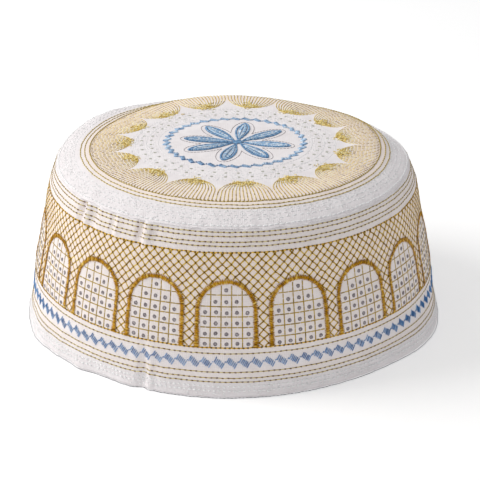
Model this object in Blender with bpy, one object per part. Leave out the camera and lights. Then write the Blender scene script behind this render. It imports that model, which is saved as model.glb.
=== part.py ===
"""Kufi: a brimless cap of stiff white cotton, a domed crown panel sewn to a flared side band.

Raised satin stitch is worked on both: a ring of arches round the band and a star of leaves
on the crown. Metres, +Z up. The origin is the middle of the hem, on the surface that the cap
stands on, and the front of the cap faces -Y. An azimuth is in degrees, anticlockwise from +X
as seen from above.
"""

import math

import bmesh
import bpy

MM = 0.001

# Cloth and thread
CLOTH = 2.0 * MM  # two layers of cotton, stitched through and starched
SEWN_GAP = 0.3 * MM  # between pieces that lie on or against each other
SATIN = 0.6 * MM  # how thick the satin stitch is
SEAM_DROP = 0.6  # share of the gap that each piece stops short of the seam
SEAM_BEVEL = 0.9  # fall of the seam's cut across the cloth, as a share of its thickness

# The band in section: the outer face, from the hem up to the seam
SEAM_HEIGHT = 70.8
BAND_SECTION = (
    # height_mm, radius_mm
    (0.0, 94.3),
    (5.0, 93.0),
    (12.0, 91.7),
    (25.0, 89.8),
    (35.0, 87.8),
    (45.0, 85.5),
    (60.0, 82.9),
    (SEAM_HEIGHT, 79.1),
)

# The crown in section: the outer face, from the middle out over the shoulder to the seam
SEAM_RADIUS = BAND_SECTION[-1][1]
CROWN_SECTION = (
    # radius_mm, height_mm
    (0.0, 77.8),
    (31.0, 78.1),
    (53.0, 76.9),
    (64.0, 76.2),
    (69.0, 75.1),
    (73.5, 73.6),
    (77.0, 72.0),
    (SEAM_RADIUS, SEAM_HEIGHT),
)

# Where the soft cap leaves a true round
BAND_DENTS = (
    # azimuth_deg, half_width_deg, height_mm, half_height_mm, push_out_mm
    (300.0, 32.0, 0.0, 26.0, -1.2),  # hem pressed in at the front right
    (336.0, 23.0, 0.0, 18.0, 2.2),  # and bulging beyond it
    (205.0, 21.0, 0.0, 18.0, 1.7),  # hem bulging at the left
    (233.0, 10.0, 0.0, 12.0, -0.8),  # pressed in again before the crease
    (226.0, 5.0, 0.0, 8.0, 1.3),  # small corner of the hem
    (246.7, 4.5, 4.0, 17.0, -0.9),  # upright crease from the hem
    (219.0, 4.5, 66.0, 9.0, -0.8),  # pucker below the seam, front left
    (249.0, 4.5, 67.0, 7.0, -0.4),  # smaller pucker beside it
)
SHOULDER_LIFTS = (
    # azimuth_deg, half_width_deg, lift_mm
    (143.0, 40.0, 2.2),  # back left stands higher
    (35.0, 55.0, -1.4),  # back right has sunk
)
LIFT_FROM_HEIGHT = 45.0  # mm up the band, where the lifts begin
LIFT_TO_RADIUS = 45.0  # mm from the middle of the crown, where they end
CROWN_TILT = math.radians(1.0)  # the crown leans back
TILT_FROM_RADIUS = 79.0  # mm, no tilt at the seam
TILT_FULL_RADIUS = 60.0  # mm, the whole tilt inside this

# The ring of arches, worked flat and wrapped round the band
ARCHES = 18
FIRST_ARCH_AZIMUTH = 268.15
ARCH_FOOT_HEIGHT = 21.6
ARCH_LEG = 16.0 * MM
ARCH_OUTER_RADIUS = 13.0 * MM
ARCH_STROKE = 2.1 * MM
ARCH_WRAP_RADIUS = 86.6 * MM
ARCH_TURNS = 12

# The star on the crown: eight leaves of satin stitch round a small knot, sewn by eye, so it sits
# a little off the middle and its leaves are not quite evenly spaced
STAR_MIDDLE = (2.0 * MM, -0.3 * MM)
LEAF_AZIMUTHS = (35.0, 81.0, 126.0, 169.5, 206.0, 255.0, 303.0, 346.5)
LEAF_START = 2.2 * MM
LEAF_END = 24.2 * MM
LEAF_HALF_WIDTH = 3.2 * MM
LEAF_FOOT_HALF = 0.3 * MM
LEAF_TIP_HALF = 1.0 * MM
LEAF_STEPS = 8
STAR_KNOT_RADIUS = 1.9 * MM

BAND_STEPS = 120  # facets round the band
CROWN_STEPS = 90


def read_curve(rows, at):
    """Reads a two-column table at any place, on one smooth curve through its rows."""

    def slope(row):
        before, after = max(row - 1, 0), min(row + 1, len(rows) - 1)
        return (rows[after][1] - rows[before][1]) / (rows[after][0] - rows[before][0])

    row = max((i for i in range(len(rows) - 1) if at >= rows[i][0]), default=0)
    (start, low), (end, high) = rows[row], rows[row + 1]
    span = end - start
    t = (at - start) / span
    value = (2 * t**3 - 3 * t**2 + 1) * low + (3 * t**2 - 2 * t**3) * high
    return value + span * ((t**3 - 2 * t**2 + t) * slope(row) + (t**3 - t**2) * slope(row + 1))


def ease(value, start, end):
    """0 at start, 1 at end and smooth between."""
    t = min(max((value - start) / (end - start), 0.0), 1.0)
    return t * t * (3 - 2 * t)


def bump(azimuth, centre, half_width):
    """1 at the centre azimuth, falling smoothly to 0 at half_width to each side."""
    away = abs((azimuth - centre + 180.0) % 360.0 - 180.0)
    return 1.0 - ease(away, 0.0, half_width)


def settle(point):
    """Moves a point of the round cap to where the soft cloth has settled."""
    x, y, z = point
    radius = math.hypot(x, y)
    if radius < 1e-9:
        return (x, y, z)
    azimuth = math.degrees(math.atan2(y, x))
    height_mm, radius_mm = z / MM, radius / MM

    push = 0.0
    if radius_mm > LIFT_TO_RADIUS:
        for centre, half_width, height, half_height, push_out in BAND_DENTS:
            fade = 1.0 - ease(abs(height_mm - height), 0.0, half_height)
            push += push_out * bump(azimuth, centre, half_width) * fade

    lift = 0.0
    share = ease(height_mm, LIFT_FROM_HEIGHT, SEAM_HEIGHT) * ease(radius_mm, LIFT_TO_RADIUS, SEAM_RADIUS)
    for centre, half_width, rise in SHOULDER_LIFTS:
        lift += rise * bump(azimuth, centre, half_width) * share
    lean = ease(radius_mm, TILT_FROM_RADIUS, TILT_FULL_RADIUS) * math.tan(CROWN_TILT)

    scale = 1.0 + push * MM / radius
    return (x * scale, y * scale, z + lift * MM - y * lean)


def band_point(azimuth, height_mm, proud=0.0):
    """A point of the band's outer face, or that far out from it."""
    step = 0.5
    radius_mm = read_curve(BAND_SECTION, height_mm)
    top = min(height_mm + step, SEAM_HEIGHT)
    slope = (read_curve(BAND_SECTION, top) - read_curve(BAND_SECTION, top - step)) / step
    tilt = math.atan(slope)
    radius = radius_mm * MM + proud * math.cos(tilt)
    z = height_mm * MM - proud * math.sin(tilt)
    turn = math.radians(azimuth)
    return settle((radius * math.cos(turn), radius * math.sin(turn), z))


def crown_point(x, y, proud=0.0):
    """A point of the crown's outer face above x, y, or that far up from it."""
    height = read_curve(CROWN_SECTION, math.hypot(x, y) / MM) * MM
    return settle((x, y, height + proud))


def finish(name, bm, material, sharp_angle=35.0):
    """Makes the mesh an object of its own, smooth but for its real edges."""
    bmesh.ops.recalc_face_normals(bm, faces=bm.faces)
    mesh = bpy.data.meshes.new(name)
    bm.to_mesh(mesh)
    bm.free()
    mesh.shade_smooth()
    mesh.set_sharp_from_angle(angle=math.radians(sharp_angle))
    mesh.materials.append(material)
    piece = bpy.data.objects.new(name, mesh)
    bpy.context.scene.collection.objects.link(piece)
    return piece


def turned_wall(section, steps):
    """Spins a section, a list of (radius, height) in metres, once round the Z axis."""
    bm = bmesh.new()
    verts = [bm.verts.new((radius, 0.0, height)) for radius, height in section]
    edges = [bm.edges.new(pair) for pair in zip(verts, verts[1:])]
    if section[0][0] > 0:
        edges.append(bm.edges.new((verts[-1], verts[0])))
    bmesh.ops.spin(
        bm,
        geom=verts + edges,
        axis=(0, 0, 1),
        cent=(0, 0, 0),
        angle=math.tau,
        steps=steps,
        use_merge=True,
    )
    bmesh.ops.remove_doubles(bm, verts=bm.verts, dist=1e-6)
    for vert in bm.verts:
        vert.co = settle(vert.co)
    return bm


def offset_section(rows, distance):
    """The same section that far to the left of its run, each point moved square to it."""
    moved = []
    for i, (radius, height) in enumerate(rows):
        before, after = rows[max(i - 1, 0)], rows[min(i + 1, len(rows) - 1)]
        run, rise = after[0] - before[0], after[1] - before[1]
        length = math.hypot(run, rise)
        moved.append((radius - rise / length * distance, height + run / length * distance))
    return moved


def make_side_band(material):
    """The band: a flared ring, flat below where the folded hem stands, cut square at the seam."""
    top = SEAM_HEIGHT - SEAM_DROP * SEWN_GAP / MM
    heights = (0.0, 4.0, 9.0, 15.0, 25.0, 37.0, 49.0, 58.0, 65.0, top)
    outer = [(read_curve(BAND_SECTION, height) * MM, height * MM) for height in heights]
    inner = offset_section(outer, CLOTH)
    hem_inside = (inner[0][0], 0.0)
    seam_inside = (outer[-1][0] - CLOTH, outer[-1][1] - SEAM_BEVEL * CLOTH)
    section = outer + [seam_inside] + inner[-2:1:-2] + [hem_inside]
    return finish("side_band", turned_wall(section, BAND_STEPS), material)


def make_crown_panel(material):
    """The crown: a shallow domed disc that turns down over the shoulder to meet the band."""
    rim = SEAM_RADIUS - SEAM_DROP * SEWN_GAP / MM
    radii = (0.0, 16.0, 31.0, 43.0, 53.0, 61.0, 67.0, 72.0, 76.0, rim)
    outer = [(radius * MM, read_curve(CROWN_SECTION, radius) * MM) for radius in radii]
    inner = offset_section(outer, -CLOTH)
    middle_inside = (0.0, outer[0][1] - CLOTH)
    rim_inside = (outer[-1][0] - CLOTH, outer[-1][1] - SEAM_BEVEL * CLOTH)
    section = outer + [rim_inside] + inner[-2:1:-2] + [middle_inside]
    return finish("crown_panel", turned_wall(section, CROWN_STEPS), material)


def make_arch(number, material):
    """One arch of satin stitch: a flat strip turned over a half round, raised and wrapped on."""
    bm = bmesh.new()
    inner_radius = ARCH_OUTER_RADIUS - ARCH_STROKE
    ends = [bm.verts.new((-radius, 0.0, 0.0)) for radius in (ARCH_OUTER_RADIUS, inner_radius)]
    foot = bm.edges.new(ends)
    turned = bmesh.ops.spin(
        bm,
        geom=ends + [foot],
        axis=(0, 0, -1),
        cent=(0, 0, 0),
        angle=math.pi,
        steps=ARCH_TURNS,
    )
    far_foot = next(item for item in turned["geom_last"] if isinstance(item, bmesh.types.BMEdge))
    for edge in (foot, far_foot):
        for _ in range(2):
            leg = bmesh.ops.extrude_edge_only(bm, edges=[edge])["geom"]
            moved = [item for item in leg if isinstance(item, bmesh.types.BMVert)]
            bmesh.ops.translate(bm, verts=moved, vec=(0, -ARCH_LEG / 2, 0))
            edge = next(item for item in leg if isinstance(item, bmesh.types.BMEdge))
    raised = bmesh.ops.extrude_face_region(bm, geom=bm.faces[:])["geom"]
    tops = [item for item in raised if isinstance(item, bmesh.types.BMVert)]
    bmesh.ops.translate(bm, verts=tops, vec=(0, 0, 0.5 * SATIN))
    crest = [item for item in raised if isinstance(item, bmesh.types.BMFace)]
    bmesh.ops.inset_region(bm, faces=crest, thickness=0.28 * ARCH_STROKE, depth=0.5 * SATIN)
    azimuth = FIRST_ARCH_AZIMUTH + 360.0 / ARCHES * (number - 1)
    for vert in bm.verts:
        across, up, proud = vert.co
        turn = azimuth + math.degrees(across / ARCH_WRAP_RADIUS)
        height_mm = ARCH_FOOT_HEIGHT + (up + ARCH_LEG) / MM
        vert.co = band_point(turn, height_mm, SEWN_GAP + abs(proud))
    return finish(f"arch_{number:02d}", bm, material)


def make_star_leaf(number, material):
    """One leaf of the star: an oval pad with a blunt tip, ridged down its middle."""
    bm = bmesh.new()
    edge_low, edge_high, ridge = [], [], []
    for step in range(LEAF_STEPS + 1):
        t = step / LEAF_STEPS
        along = LEAF_START + (LEAF_END - LEAF_START) * t
        half = LEAF_HALF_WIDTH * math.sin(math.pi * t**1.35) ** 0.6
        if step == 0:
            half = LEAF_FOOT_HALF
        if step == LEAF_STEPS:
            half = LEAF_TIP_HALF
        for side, row in ((-1, edge_low), (1, edge_high)):
            row.append(bm.verts.new((along, side * half, 0.0)))
        ridge.append(bm.verts.new((along, 0.0, SATIN * (0.5 if step in (0, LEAF_STEPS) else 1.0))))
    for i in range(LEAF_STEPS):
        bm.faces.new((edge_low[i], edge_low[i + 1], ridge[i + 1], ridge[i]))
        bm.faces.new((ridge[i], ridge[i + 1], edge_high[i + 1], edge_high[i]))
        bm.faces.new((edge_low[i], edge_high[i], edge_high[i + 1], edge_low[i + 1]))
    bm.faces.new((edge_low[0], ridge[0], edge_high[0]))
    bm.faces.new((edge_low[-1], edge_high[-1], ridge[-1]))
    turn = math.radians(LEAF_AZIMUTHS[number - 1])
    for vert in bm.verts:
        along, across, proud = vert.co
        x = STAR_MIDDLE[0] + along * math.cos(turn) - across * math.sin(turn)
        y = STAR_MIDDLE[1] + along * math.sin(turn) + across * math.cos(turn)
        vert.co = crown_point(x, y, SEWN_GAP + proud)
    return finish(f"star_leaf_{number}", bm, material)


def make_star_knot(material):
    """The small round knot of thread where the leaves meet."""
    bm = bmesh.new()
    bmesh.ops.create_cone(
        bm,
        cap_ends=True,
        segments=12,
        radius1=STAR_KNOT_RADIUS,
        radius2=0.6 * STAR_KNOT_RADIUS,
        depth=SATIN,
    )
    for vert in bm.verts:
        x, y, z = vert.co
        vert.co = crown_point(STAR_MIDDLE[0] + x, STAR_MIDDLE[1] + y, SEWN_GAP + z + SATIN / 2)
    return finish("star_knot", bm, material)


def make_material(name, colour, roughness):
    """A Principled material of one plain colour, given as sRGB from 0 to 255."""
    material = bpy.data.materials.new(name)
    material.use_nodes = True
    shader = material.node_tree.nodes["Principled BSDF"]
    linear = [((c / 255 + 0.055) / 1.055) ** 2.4 for c in colour]
    shader.inputs["Base Color"].default_value = (*linear, 1.0)
    shader.inputs["Roughness"].default_value = roughness
    shader.inputs["Metallic"].default_value = 0.0
    return material


for old in list(bpy.data.objects):
    bpy.data.objects.remove(old, do_unlink=True)

make_side_band(make_material("band_cotton", (240, 239, 238), 0.85))
make_crown_panel(make_material("crown_cotton", (243, 242, 240), 0.85))
for arch_number in range(1, ARCHES + 1):
    make_arch(arch_number, make_material(f"gold_thread_{arch_number:02d}", (186, 138, 42), 0.45))
for leaf_number in range(1, len(LEAF_AZIMUTHS) + 1):
    make_star_leaf(leaf_number, make_material(f"blue_thread_{leaf_number}", (104, 152, 200), 0.45))
make_star_knot(make_material("knot_thread", (96, 142, 190), 0.5))
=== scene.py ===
"""Kufi: the looks of a stiff white cotton cap with gold, blue and grey machine embroidery.

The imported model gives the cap's two cloth panels, its ring of satin arches and its star. Here
both panels become finely shaped starched cloth, and every stitch is laid on them as its own
small strand of thread. Sizes are in millimetres unless a name says otherwise. An azimuth is in
degrees, anticlockwise from +X as seen from above, and the front of the cap faces -Y.
"""

import math

import bmesh
import bpy
import numpy as np
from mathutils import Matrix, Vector


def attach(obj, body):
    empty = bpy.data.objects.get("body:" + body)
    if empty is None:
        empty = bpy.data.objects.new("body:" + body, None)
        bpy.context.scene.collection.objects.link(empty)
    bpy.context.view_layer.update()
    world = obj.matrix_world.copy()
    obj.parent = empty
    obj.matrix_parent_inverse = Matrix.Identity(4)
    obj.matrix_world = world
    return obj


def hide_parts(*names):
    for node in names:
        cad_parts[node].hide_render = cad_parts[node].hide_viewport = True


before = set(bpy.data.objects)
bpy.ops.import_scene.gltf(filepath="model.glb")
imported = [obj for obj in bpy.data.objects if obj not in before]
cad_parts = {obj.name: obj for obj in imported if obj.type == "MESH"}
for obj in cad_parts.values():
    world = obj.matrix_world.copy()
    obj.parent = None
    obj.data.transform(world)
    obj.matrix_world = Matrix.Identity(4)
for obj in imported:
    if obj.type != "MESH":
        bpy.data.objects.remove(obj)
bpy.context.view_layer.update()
MM = 0.001

# Studio: a white sweep under soft light from a big window at the left, a little behind the cap.
# The camera stands where the photographer's did, looking down at the front by some 24 degrees.
# The sizes of this section are in metres.
CAMERA_PLACE = (0.0, -0.73198, 0.3628)
CAMERA_AIM = (0.00313, -0.00374, 0.03153)
CAMERA_LENS = 131.55
SENSOR_WIDTH = 36.0
LIGHTS = (
    # name, place, size, watts, colour
    ("window", (-1.02, 0.14, 0.91), 0.9, 11.3, (1.0, 0.985, 0.96)),
    ("ceiling_softbox", (0.0, 0.0, 1.5), 1.4, 4.4, (1.0, 1.0, 1.0)),
)
LIGHT_AIM = (0.0, 0.001, 0.04)
SKY_COLOUR = (0.97, 0.98, 1.0, 1.0)
SKY_STRENGTH = 0.375
FLOOR_WIDTH = 12.0
FLOOR_CELLS = 8
FLOOR_GLOW = 0.29


def linear(code):
    """Turns an sRGB hex colour to linear RGBA."""
    parts = [int(code[i : i + 2], 16) / 255 for i in (1, 3, 5)]
    return (*[c / 12.92 if c <= 0.04045 else ((c + 0.055) / 1.055) ** 2.4 for c in parts], 1.0)


def plug(material, node, settings, links=None):
    """Sets a node's properties and sockets, and links other nodes' outputs to it."""
    for key, value in (settings or {}).items():
        if isinstance(key, str) and hasattr(node, key):
            setattr(node, key, value)
        else:
            node.inputs[key].default_value = value
    for key, source in (links or {}).items():
        material.node_tree.links.new(source, node.inputs[key])


def add_node(material, kind, settings=None, links=None):
    """Adds a shader node and plugs it in."""
    made = material.node_tree.nodes.new("ShaderNode" + kind)
    plug(material, made, settings, links)
    return made


def new_material(name):
    """Starts a material and returns it with its Principled shader."""
    material = bpy.data.materials.new(name)
    material.use_nodes = True
    return material, material.node_tree.nodes["Principled BSDF"]


def aim(thing, place, target):
    """Puts a light or a camera in its place, turned to look at the target."""
    thing.location = place
    thing.rotation_euler = (Vector(target) - Vector(place)).to_track_quat("-Z", "Y").to_euler()
    bpy.context.scene.collection.objects.link(thing)
    return thing


def make_studio():
    bm = bmesh.new()
    bmesh.ops.create_grid(bm, x_segments=FLOOR_CELLS, y_segments=FLOOR_CELLS, size=FLOOR_WIDTH / 2)
    mesh = bpy.data.meshes.new("floor")
    bm.to_mesh(mesh)
    bm.free()
    # Seamless paper: matt white, lit from behind the set until it is nearly pure white.
    paper, shader = new_material("seamless_white_paper")
    matt = {"Base Color": linear("#f4f4f4"), "Roughness": 1.0, "Specular IOR Level": 0.0}
    lit = {"Emission Color": linear("#ffffff"), "Emission Strength": FLOOR_GLOW}
    plug(paper, shader, {**matt, **lit})
    mesh.materials.append(paper)
    floor = bpy.data.objects.new("floor", mesh)
    bpy.context.scene.collection.objects.link(floor)

    for name, place, size, watts, colour in LIGHTS:
        light = bpy.data.lights.new(name, "AREA")
        light.shape = "DISK"
        light.size = size
        light.energy = watts
        light.color = colour
        aim(bpy.data.objects.new(name, light), place, LIGHT_AIM)

    sky = bpy.data.worlds.new("studio_air")
    sky.use_nodes = True
    backdrop = sky.node_tree.nodes["Background"]
    plug(sky, backdrop, {"Color": SKY_COLOUR, "Strength": SKY_STRENGTH})
    bpy.context.scene.world = sky
    bpy.context.scene.view_settings.view_transform = "Standard"

    lens = bpy.data.cameras.new("camera")
    lens.lens = CAMERA_LENS
    lens.sensor_width = SENSOR_WIDTH
    bpy.context.scene.camera = aim(bpy.data.objects.new("camera", lens), CAMERA_PLACE, CAMERA_AIM)


make_studio()


# Side band: two layers of white cotton, starched stiff and stitched through, flaring to a folded
# hem. It is turned as a closed wall of fine cells, then settled to the photographed cap's dents
# and drawn in along every line of stitching, so that the cloth swells softly between the lines.
CLOTH = 2.0
SEAM_HEIGHT = 70.8
BAND_SECTION = (
    # height, radius
    (0.0, 94.3),
    (5.0, 93.0),
    (12.0, 91.7),
    (25.0, 89.8),
    (35.0, 87.8),
    (45.0, 85.5),
    (60.0, 82.9),
    (SEAM_HEIGHT, 79.1),
)
SEAM_RADIUS = BAND_SECTION[-1][1]
BAND_DENTS = (
    # azimuth, half_width, height, half_height, push_out
    (300.0, 32.0, 0.0, 26.0, -1.2),  # hem pressed in at the front right
    (336.0, 23.0, 0.0, 18.0, 2.2),  # and bulging beyond it
    (205.0, 21.0, 0.0, 18.0, 1.7),  # hem bulging at the left
    (233.0, 10.0, 0.0, 12.0, -0.8),  # pressed in again before the crease
    (226.0, 5.0, 0.0, 8.0, 1.3),  # small corner of the hem
    (246.7, 4.5, 4.0, 17.0, -0.9),  # upright crease from the hem
    (222.0, 4.5, 66.0, 9.0, -0.8),  # pucker below the seam, front left
    (249.0, 4.5, 67.0, 7.0, -0.4),  # smaller pucker beside it
)
SHOULDER_LIFTS = (
    # azimuth, half_width, rise
    (143.0, 40.0, 2.5),  # back left stands higher
    (35.0, 55.0, -1.4),  # back right has sunk
)
LIFT_FROM_HEIGHT = 45.0
LIFT_RADII = (64.0, 76.0)
CROWN_TILT = math.radians(1.0)
TILT_FULL_RADIUS = 60.0

BAND_CREASES = (
    # azimuth, half_width, height, half_height, push_out: sharp folds that the stitching holds
    (245.6, 2.3, 1.0, 26.0, -1.2),
    (247.6, 1.8, 3.0, 24.0, 0.9),
    (217.6, 2.4, 66.5, 11.0, -2.1),
    (220.6, 2.3, 66.0, 11.0, 1.4),
    (224.0, 2.0, 67.0, 7.0, -0.8),
    (231.5, 1.8, 66.0, 8.0, -0.8),
    (233.4, 1.7, 66.0, 7.0, 0.5),
    (241.5, 2.0, 66.0, 9.0, -1.5),
    (244.0, 2.0, 66.0, 8.0, 1.1),
    (247.0, 1.6, 67.0, 7.0, -0.5),
)

THIN_ROWS = (6.9, 8.6, 11.1, 19.2, 64.0, 65.6, 67.8, 69.4)
BOLD_ROWS = (21.7, 61.5)
HEM_ROWS = (3.2, 5.0)
CHAIN_HEIGHT = 15.2
ARCHES = 18
ARCH_PITCH = 360.0 / ARCHES
FIRST_ARCH = 268.15
ARCH_FOOT = 21.6
ARCH_LEG = 16.0
ARCH_SPRING = ARCH_FOOT + ARCH_LEG
ARCH_RADIUS = 13.0
ARCH_STROKE = 2.1
ARCH_WRAP_RADIUS = 86.6
GRID_CELL = 4.34
GRID_RISERS = (25.9, 30.4, 34.9, 39.1, 43.9)
LATTICE_CELLS = 144
LATTICE_RISE = 3.7

BAND_COLUMNS = 960
BAND_ROW_STEP = 0.92
SECTORS = 16
HEM_FOLD = 1.2
HEM_FOLD_TURNS = (0.0, 0.4, 0.8, 1.2)
INNER_HEIGHTS = (SEAM_HEIGHT - 1.2, 0.5)
INNER_ROWS = 12
SEAM_MARGIN = 0.4
MERGE_WITHIN = 1e-4

ROW_PULL = (0.7, 0.16)  # half_width, depth: how far a line of stitching draws the cloth in
BOLD_PULL = (0.8, 0.14)
LATTICE_PULL = (0.16, 0.2)  # this half_width is in cells of the lattice
GRID_PULL = (0.6, 0.12)
SEAM_PULL = (0.6, 0.35)
STREAKS = (
    # columns, rows, seed, height: upright puckers of the stiff cloth
    (170, 5, 1, 0.5),
    (300, 9, 2, 0.3),
)
SWELLS = (
    # columns, rows, seed, height: unevenness of the whole face
    (60, 9, 3, 0.16),
    (420, 60, 4, 0.035),
)
STREAKS_SHOW = (0.07, 0.17, 0.3)  # all over, more where stitching is tight or the hem crumpled
TIGHT_ABOVE = (58.0, 64.0)
LOOSE_ABOVE = (3.0, 20.0)
CRUMPLED_HEM = (207.0, 27.0)
CRUMPLED_BELOW = (4.0, 17.0)
BAND_WARMTH = (0.22, 0.33)  # how warm the rows make the cloth, and how much more the lattice
WARM_HEIGHTS = (7.0, 8.5, 68.5, 70.0)
CHAIN_HALF_HEIGHT = 3.0


def read_curve(rows, at):
    """Reads a two-column table at any places, on one smooth curve through its rows."""
    place, value = np.array(rows).T
    ends = np.diff(value) / np.diff(place)
    inner = (value[2:] - value[:-2]) / (place[2:] - place[:-2])
    slope = np.concatenate([ends[:1], inner, ends[-1:]])
    row = np.clip(np.searchsorted(place, at, side="right") - 1, 0, len(place) - 2)
    span = place[row + 1] - place[row]
    t = (at - place[row]) / span
    curve = (2 * t**3 - 3 * t**2 + 1) * value[row] + (3 * t**2 - 2 * t**3) * value[row + 1]
    return curve + span * ((t**3 - 2 * t**2 + t) * slope[row] + (t**3 - t**2) * slope[row + 1])


def ease(value, start, end):
    """0 at start, 1 at end and smooth between."""
    t = np.clip((value - start) / (end - start), 0.0, 1.0)
    return t * t * (3 - 2 * t)


def bump(azimuth, centre, half_width):
    """1 at the centre azimuth, falling smoothly to 0 at half_width to each side."""
    return 1.0 - ease(np.abs((azimuth - centre + 180.0) % 360.0 - 180.0), 0.0, half_width)


def bumps(azimuth, table):
    """Adds up a table of bumps: azimuth, half_width and height of each."""
    return sum(height * bump(azimuth, centre, half) for centre, half, height in table)


def dents(azimuth, height, table):
    """Adds up a table of dents: how far out they push the band there."""
    return sum(
        push_out * bump(azimuth, centre, half) * (1 - ease(np.abs(height - middle), 0.0, reach))
        for centre, half, middle, reach, push_out in table
    )


def plateau(value, begins, full, falls, ends):
    """1 from full to falls, 0 below begins and above ends, and smooth between."""
    return ease(value, begins, full) * (1 - ease(value, falls, ends))


def groove(distance, half_width):
    """1 where the distance is nothing, falling like a bell."""
    return np.exp(-((distance / half_width) ** 2))


def ripple(across, up, columns, rows, seed):
    """Soft noise from -1 to 1 over a sheet, whose two directions run from 0 to 1.

    The first direction joins up.
    """
    table = np.random.default_rng(seed).uniform(-1, 1, (columns, rows + 1))
    u, v = across * columns, np.clip(up, 0.0, 0.9999) * rows
    i, j = np.floor(u).astype(int), np.floor(v).astype(int)
    s, t = ease(u - i, 0, 1), ease(v - j, 0, 1)
    near, far = table[i % columns], table[(i + 1) % columns]
    pick = np.arange(len(i))
    low = near[pick, j] * (1 - s) + far[pick, j] * s
    high = near[pick, j + 1] * (1 - s) + far[pick, j + 1] * s
    return low * (1 - t) + high * t


def ripples(across, up, table):
    """Adds up the layers of soft noise in a table."""
    return sum(ripple(across, up, *layer) * height for *layer, height in table)


def pull(place, lines, half_width, depth):
    """How far lines of stitching, wherever they run, draw the cloth in at a place."""
    return depth * sum(groove(place - line, half_width) for line in lines)


def settle(x, y, z):
    """Moves points of the round cap to where the soft cloth has settled."""
    radius = np.hypot(x, y)
    azimuth = np.degrees(np.arctan2(y, x))
    push = dents(azimuth, z, BAND_DENTS) * (radius > LIFT_RADII[0])
    share = ease(z, LIFT_FROM_HEIGHT, SEAM_HEIGHT) * ease(radius, *LIFT_RADII)
    lift = bumps(azimuth, SHOULDER_LIFTS) * share
    lean = ease(radius, SEAM_RADIUS, TILT_FULL_RADIUS) * math.tan(CROWN_TILT)
    scale = 1.0 + push / np.maximum(radius, 1.0)
    return np.stack([x * scale, y * scale, z + lift - y * lean], axis=-1)


def arch_place(azimuth, height):
    """How far across from the nearest arch's middle, and up from where its round top springs."""
    turn = (azimuth - FIRST_ARCH + ARCH_PITCH / 2) % ARCH_PITCH - ARCH_PITCH / 2
    return np.radians(turn) * ARCH_WRAP_RADIUS, height - ARCH_SPRING


def arch_reach(azimuth, height):
    """Distance from the arch's backbone: under ARCH_RADIUS is inside the arch's outer edge."""
    across, up = arch_place(azimuth, height)
    return np.hypot(across, np.maximum(up, 0.0))


def lattice_place(azimuth, height):
    """Place in the lattice, in cells: a thread runs wherever the sum or difference is whole."""
    across = (azimuth - FIRST_ARCH) / 360.0 * LATTICE_CELLS
    return across, (height - BOLD_ROWS[0]) / LATTICE_RISE


def in_field(height):
    """Whether that height is between the two bold rows, where the arches and the lattice are."""
    return (height > BOLD_ROWS[0]) & (height < BOLD_ROWS[1])


def band_relief(azimuth, height):
    """How far the stitching and creases move the band's face out, in millimetres."""
    turn = (azimuth % 360.0) / 360.0
    rise = height / SEAM_HEIGHT
    drawn = pull(height, THIN_ROWS, *ROW_PULL) + pull(height, BOLD_ROWS + HEM_ROWS, *BOLD_PULL)
    drawn += pull(height, (SEAM_HEIGHT,), *SEAM_PULL)
    reach = arch_reach(azimuth, height)
    across, up = arch_place(azimuth, height)
    u, v = lattice_place(azimuth, height)
    near = np.minimum(np.abs((u + v + 0.5) % 1 - 0.5), np.abs((u - v + 0.5) % 1 - 0.5))
    latticed = in_field(height) & (reach > ARCH_RADIUS)
    drawn += pull(near, (0.0,), *LATTICE_PULL) * latticed
    beside = np.abs((across / GRID_CELL) % 1 - 0.5) * GRID_CELL
    level = np.min([np.abs(height - riser) for riser in GRID_RISERS], axis=0)
    windowed = in_field(height) & (reach < ARCH_RADIUS - ARCH_STROKE)
    drawn += pull(np.minimum(beside, level), (0.0,), *GRID_PULL) * windowed
    everywhere, tightly, crumpled = STREAKS_SHOW
    shown = everywhere + tightly * (ease(height, *TIGHT_ABOVE) + 1 - ease(height, *LOOSE_ABOVE))
    shown += crumpled * bump(azimuth, *CRUMPLED_HEM) * (1 - ease(height, *CRUMPLED_BELOW))
    form = dents(azimuth, height, BAND_CREASES) + ripples(turn, rise, STREAKS) * shown
    return form + ripples(turn, rise, SWELLS) - drawn


def on_band(azimuth, height, proud=0.0):
    """Points of the band's outer face, or that far out from it."""
    top = np.minimum(height + 0.5, SEAM_HEIGHT)
    slope = (read_curve(BAND_SECTION, top) - read_curve(BAND_SECTION, top - 0.5)) / 0.5
    tilt = np.arctan(slope)
    out = proud + band_relief(azimuth, height)
    radius = read_curve(BAND_SECTION, height) + out * np.cos(tilt)
    turn = np.radians(azimuth)
    return settle(radius * np.cos(turn), radius * np.sin(turn), height - out * np.sin(tilt))


def turned_wall(name, section, columns):
    """Spins a section of (radius, height) points once round the Z axis, still in millimetres.

    One sector is spun in fine steps and then repeated round, which is many times quicker.
    """
    bm = bmesh.new()
    verts = [bm.verts.new((radius, 0.0, height)) for radius, height in section]
    edges = [bm.edges.new(pair) for pair in zip(verts, verts[1:])]
    if section[0][0] > 0:
        edges.append(bm.edges.new((verts[-1], verts[0])))
    round_z = {"axis": (0, 0, 1), "cent": (0, 0, 0)}
    sector = math.tau / SECTORS
    bmesh.ops.spin(bm, geom=verts + edges, angle=sector, steps=columns // SECTORS, **round_z)
    whole = bm.verts[:] + bm.edges[:] + bm.faces[:]
    repeat = {"angle": math.tau - sector, "steps": SECTORS - 1, "use_duplicate": True}
    bmesh.ops.spin(bm, geom=whole, **repeat, **round_z)
    bmesh.ops.remove_doubles(bm, verts=bm.verts, dist=MERGE_WITHIN)
    bmesh.ops.recalc_face_normals(bm, faces=bm.faces)
    mesh = bpy.data.meshes.new(name)
    bm.to_mesh(mesh)
    bm.free()
    mesh.shade_smooth()
    return mesh


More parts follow.
